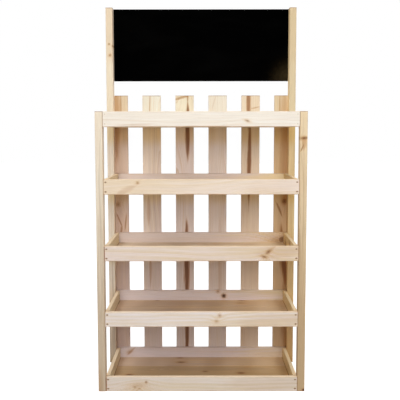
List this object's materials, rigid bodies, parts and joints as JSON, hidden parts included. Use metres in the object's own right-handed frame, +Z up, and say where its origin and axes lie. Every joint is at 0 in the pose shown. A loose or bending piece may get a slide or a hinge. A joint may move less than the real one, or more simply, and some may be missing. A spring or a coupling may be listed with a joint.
{
  "type": "shelf display stand",
  "caption": "Free-standing pine display stand: open box trays between four posts, a slatted back and a plain black header board.",
  "frame": {"origin": "on the floor, under the middle of the stand's width and depth", "axes": "+Z up, front faces -Y, +X to the right of a person who looks at the front"},
  "size_m": [0.968, 0.418, 1.845],
  "materials": {
    "post_pine": "planed, unfinished pine",
    "board_pine": "planed, unfinished pine with knots",
    "base_pine": "planed, unfinished pine with knots",
    "slat_pine": "planed, unfinished pine",
    "writing_board": "matt black writing surface on fibreboard",
    "nail_steel": "dulled bright wire nail",
    "screw_steel": "dull zinc-plated wood screw"
  },
  "bodies": {
    "root": {"front_post_left": "post_pine", "front_post_right": "post_pine", "rear_post_left": "post_pine", "rear_post_right": "post_pine", "tray_1_front_board": "board_pine", "tray_1_back_board": "board_pine", "tray_1_left_side": "board_pine", "tray_1_right_side": "board_pine", "tray_1_base_front": "base_pine", "tray_1_base_middle": "base_pine", "tray_1_base_rear": "base_pine", "tray_1_nails": "nail_steel", "tray_1_screws": "screw_steel", "tray_2_front_board": "board_pine", "tray_2_back_board": "board_pine", "tray_2_left_side": "board_pine", "tray_2_right_side": "board_pine", "tray_2_base_front": "base_pine", "tray_2_base_middle": "base_pine", "tray_2_base_rear": "base_pine", "tray_2_nails": "nail_steel", "tray_2_screws": "screw_steel", "tray_3_front_board": "board_pine", "tray_3_back_board": "board_pine", "tray_3_left_side": "board_pine", "tray_3_right_side": "board_pine", "tray_3_base_front": "base_pine", "tray_3_base_middle": "base_pine", "tray_3_base_rear": "base_pine", "tray_3_nails": "nail_steel", "tray_3_screws": "screw_steel", "tray_4_front_board": "board_pine", "tray_4_back_board": "board_pine", "tray_4_left_side": "board_pine", "tray_4_right_side": "board_pine", "tray_4_base_front": "base_pine", "tray_4_base_middle": "base_pine", "tray_4_base_rear": "base_pine", "tray_4_nails": "nail_steel", "tray_4_screws": "screw_steel", "tray_5_front_board": "board_pine", "tray_5_back_board": "board_pine", "tray_5_left_side": "board_pine", "tray_5_right_side": "board_pine", "tray_5_base_front": "base_pine", "tray_5_base_middle": "base_pine", "tray_5_base_rear": "base_pine", "tray_5_nails": "nail_steel", "tray_5_screws": "screw_steel", "slat_1": "slat_pine", "slat_2": "slat_pine", "slat_3": "slat_pine", "slat_4": "slat_pine", "slat_5": "slat_pine", "slat_6": "slat_pine", "slat_nails": "nail_steel", "header_board": "writing_board", "header_screws": "screw_steel"}
  },
  "joints": []
}
